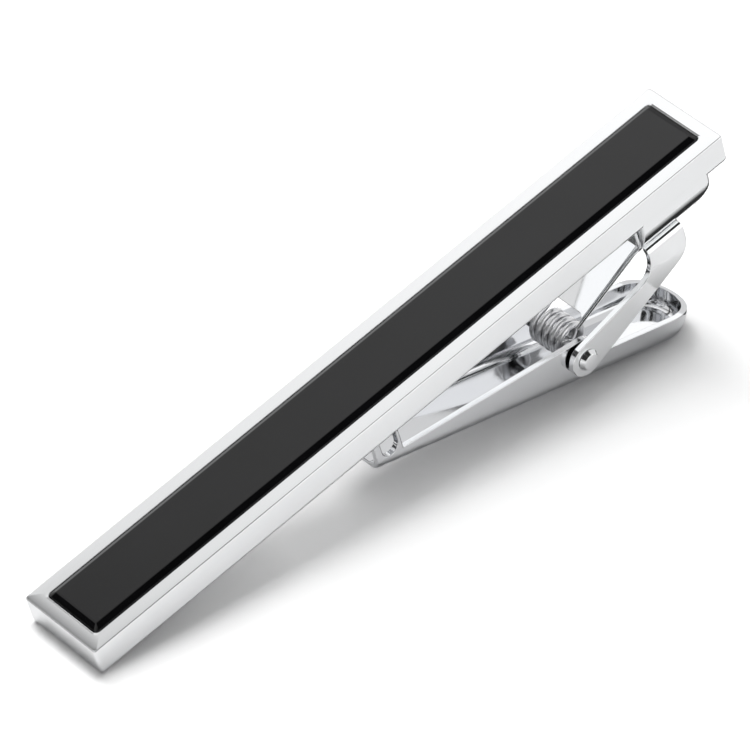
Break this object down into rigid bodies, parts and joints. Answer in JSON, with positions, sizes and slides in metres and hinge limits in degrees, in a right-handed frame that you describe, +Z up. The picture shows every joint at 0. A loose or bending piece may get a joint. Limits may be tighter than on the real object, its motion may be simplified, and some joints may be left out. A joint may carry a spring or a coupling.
{
  "type": "tie bar",
  "caption": "Slim plated tie bar with a bevelled black stone inlay in a raised rim and a sprung alligator clip hinged under one end.",
  "frame": {"origin": "centre of the bounding box, on the ground under the part as it lies face up", "axes": "+X along the bar towards the clip's hinge end as seen from above, +Z up, +Y across the bar"},
  "size_m": [0.0566, 0.0078, 0.0174],
  "materials": {
    "plated_bar": "polished",
    "onyx": "polished",
    "cement": "matte",
    "solder": "satin",
    "plated_bracket": "polished",
    "plated_jaw": "polished",
    "plated_pin": "polished",
    "spring_steel": "satin"
  },
  "bodies": {
    "bar": {"bar_frame": "plated_bar", "onyx_inlay": "onyx", "inlay_cement": "cement", "solder_pad": "solder", "clip_bracket": "plated_bracket", "hinge_pin": "plated_pin", "torsion_spring": "spring_steel"},
    "jaw": {"clip_jaw": "plated_jaw"}
  },
  "joints": [
    {"name": "jaw_hinge", "type": "hinge", "parent": "bar", "child": "jaw", "pos_m": [0.01582, 0, 0.00389], "axis": [0, -1, 0], "range_deg": [0, 40], "stiffness_Nm_per_rad": 0.0005, "springref_deg": -114.59, "deforming": ["torsion_spring"]}
  ]
}
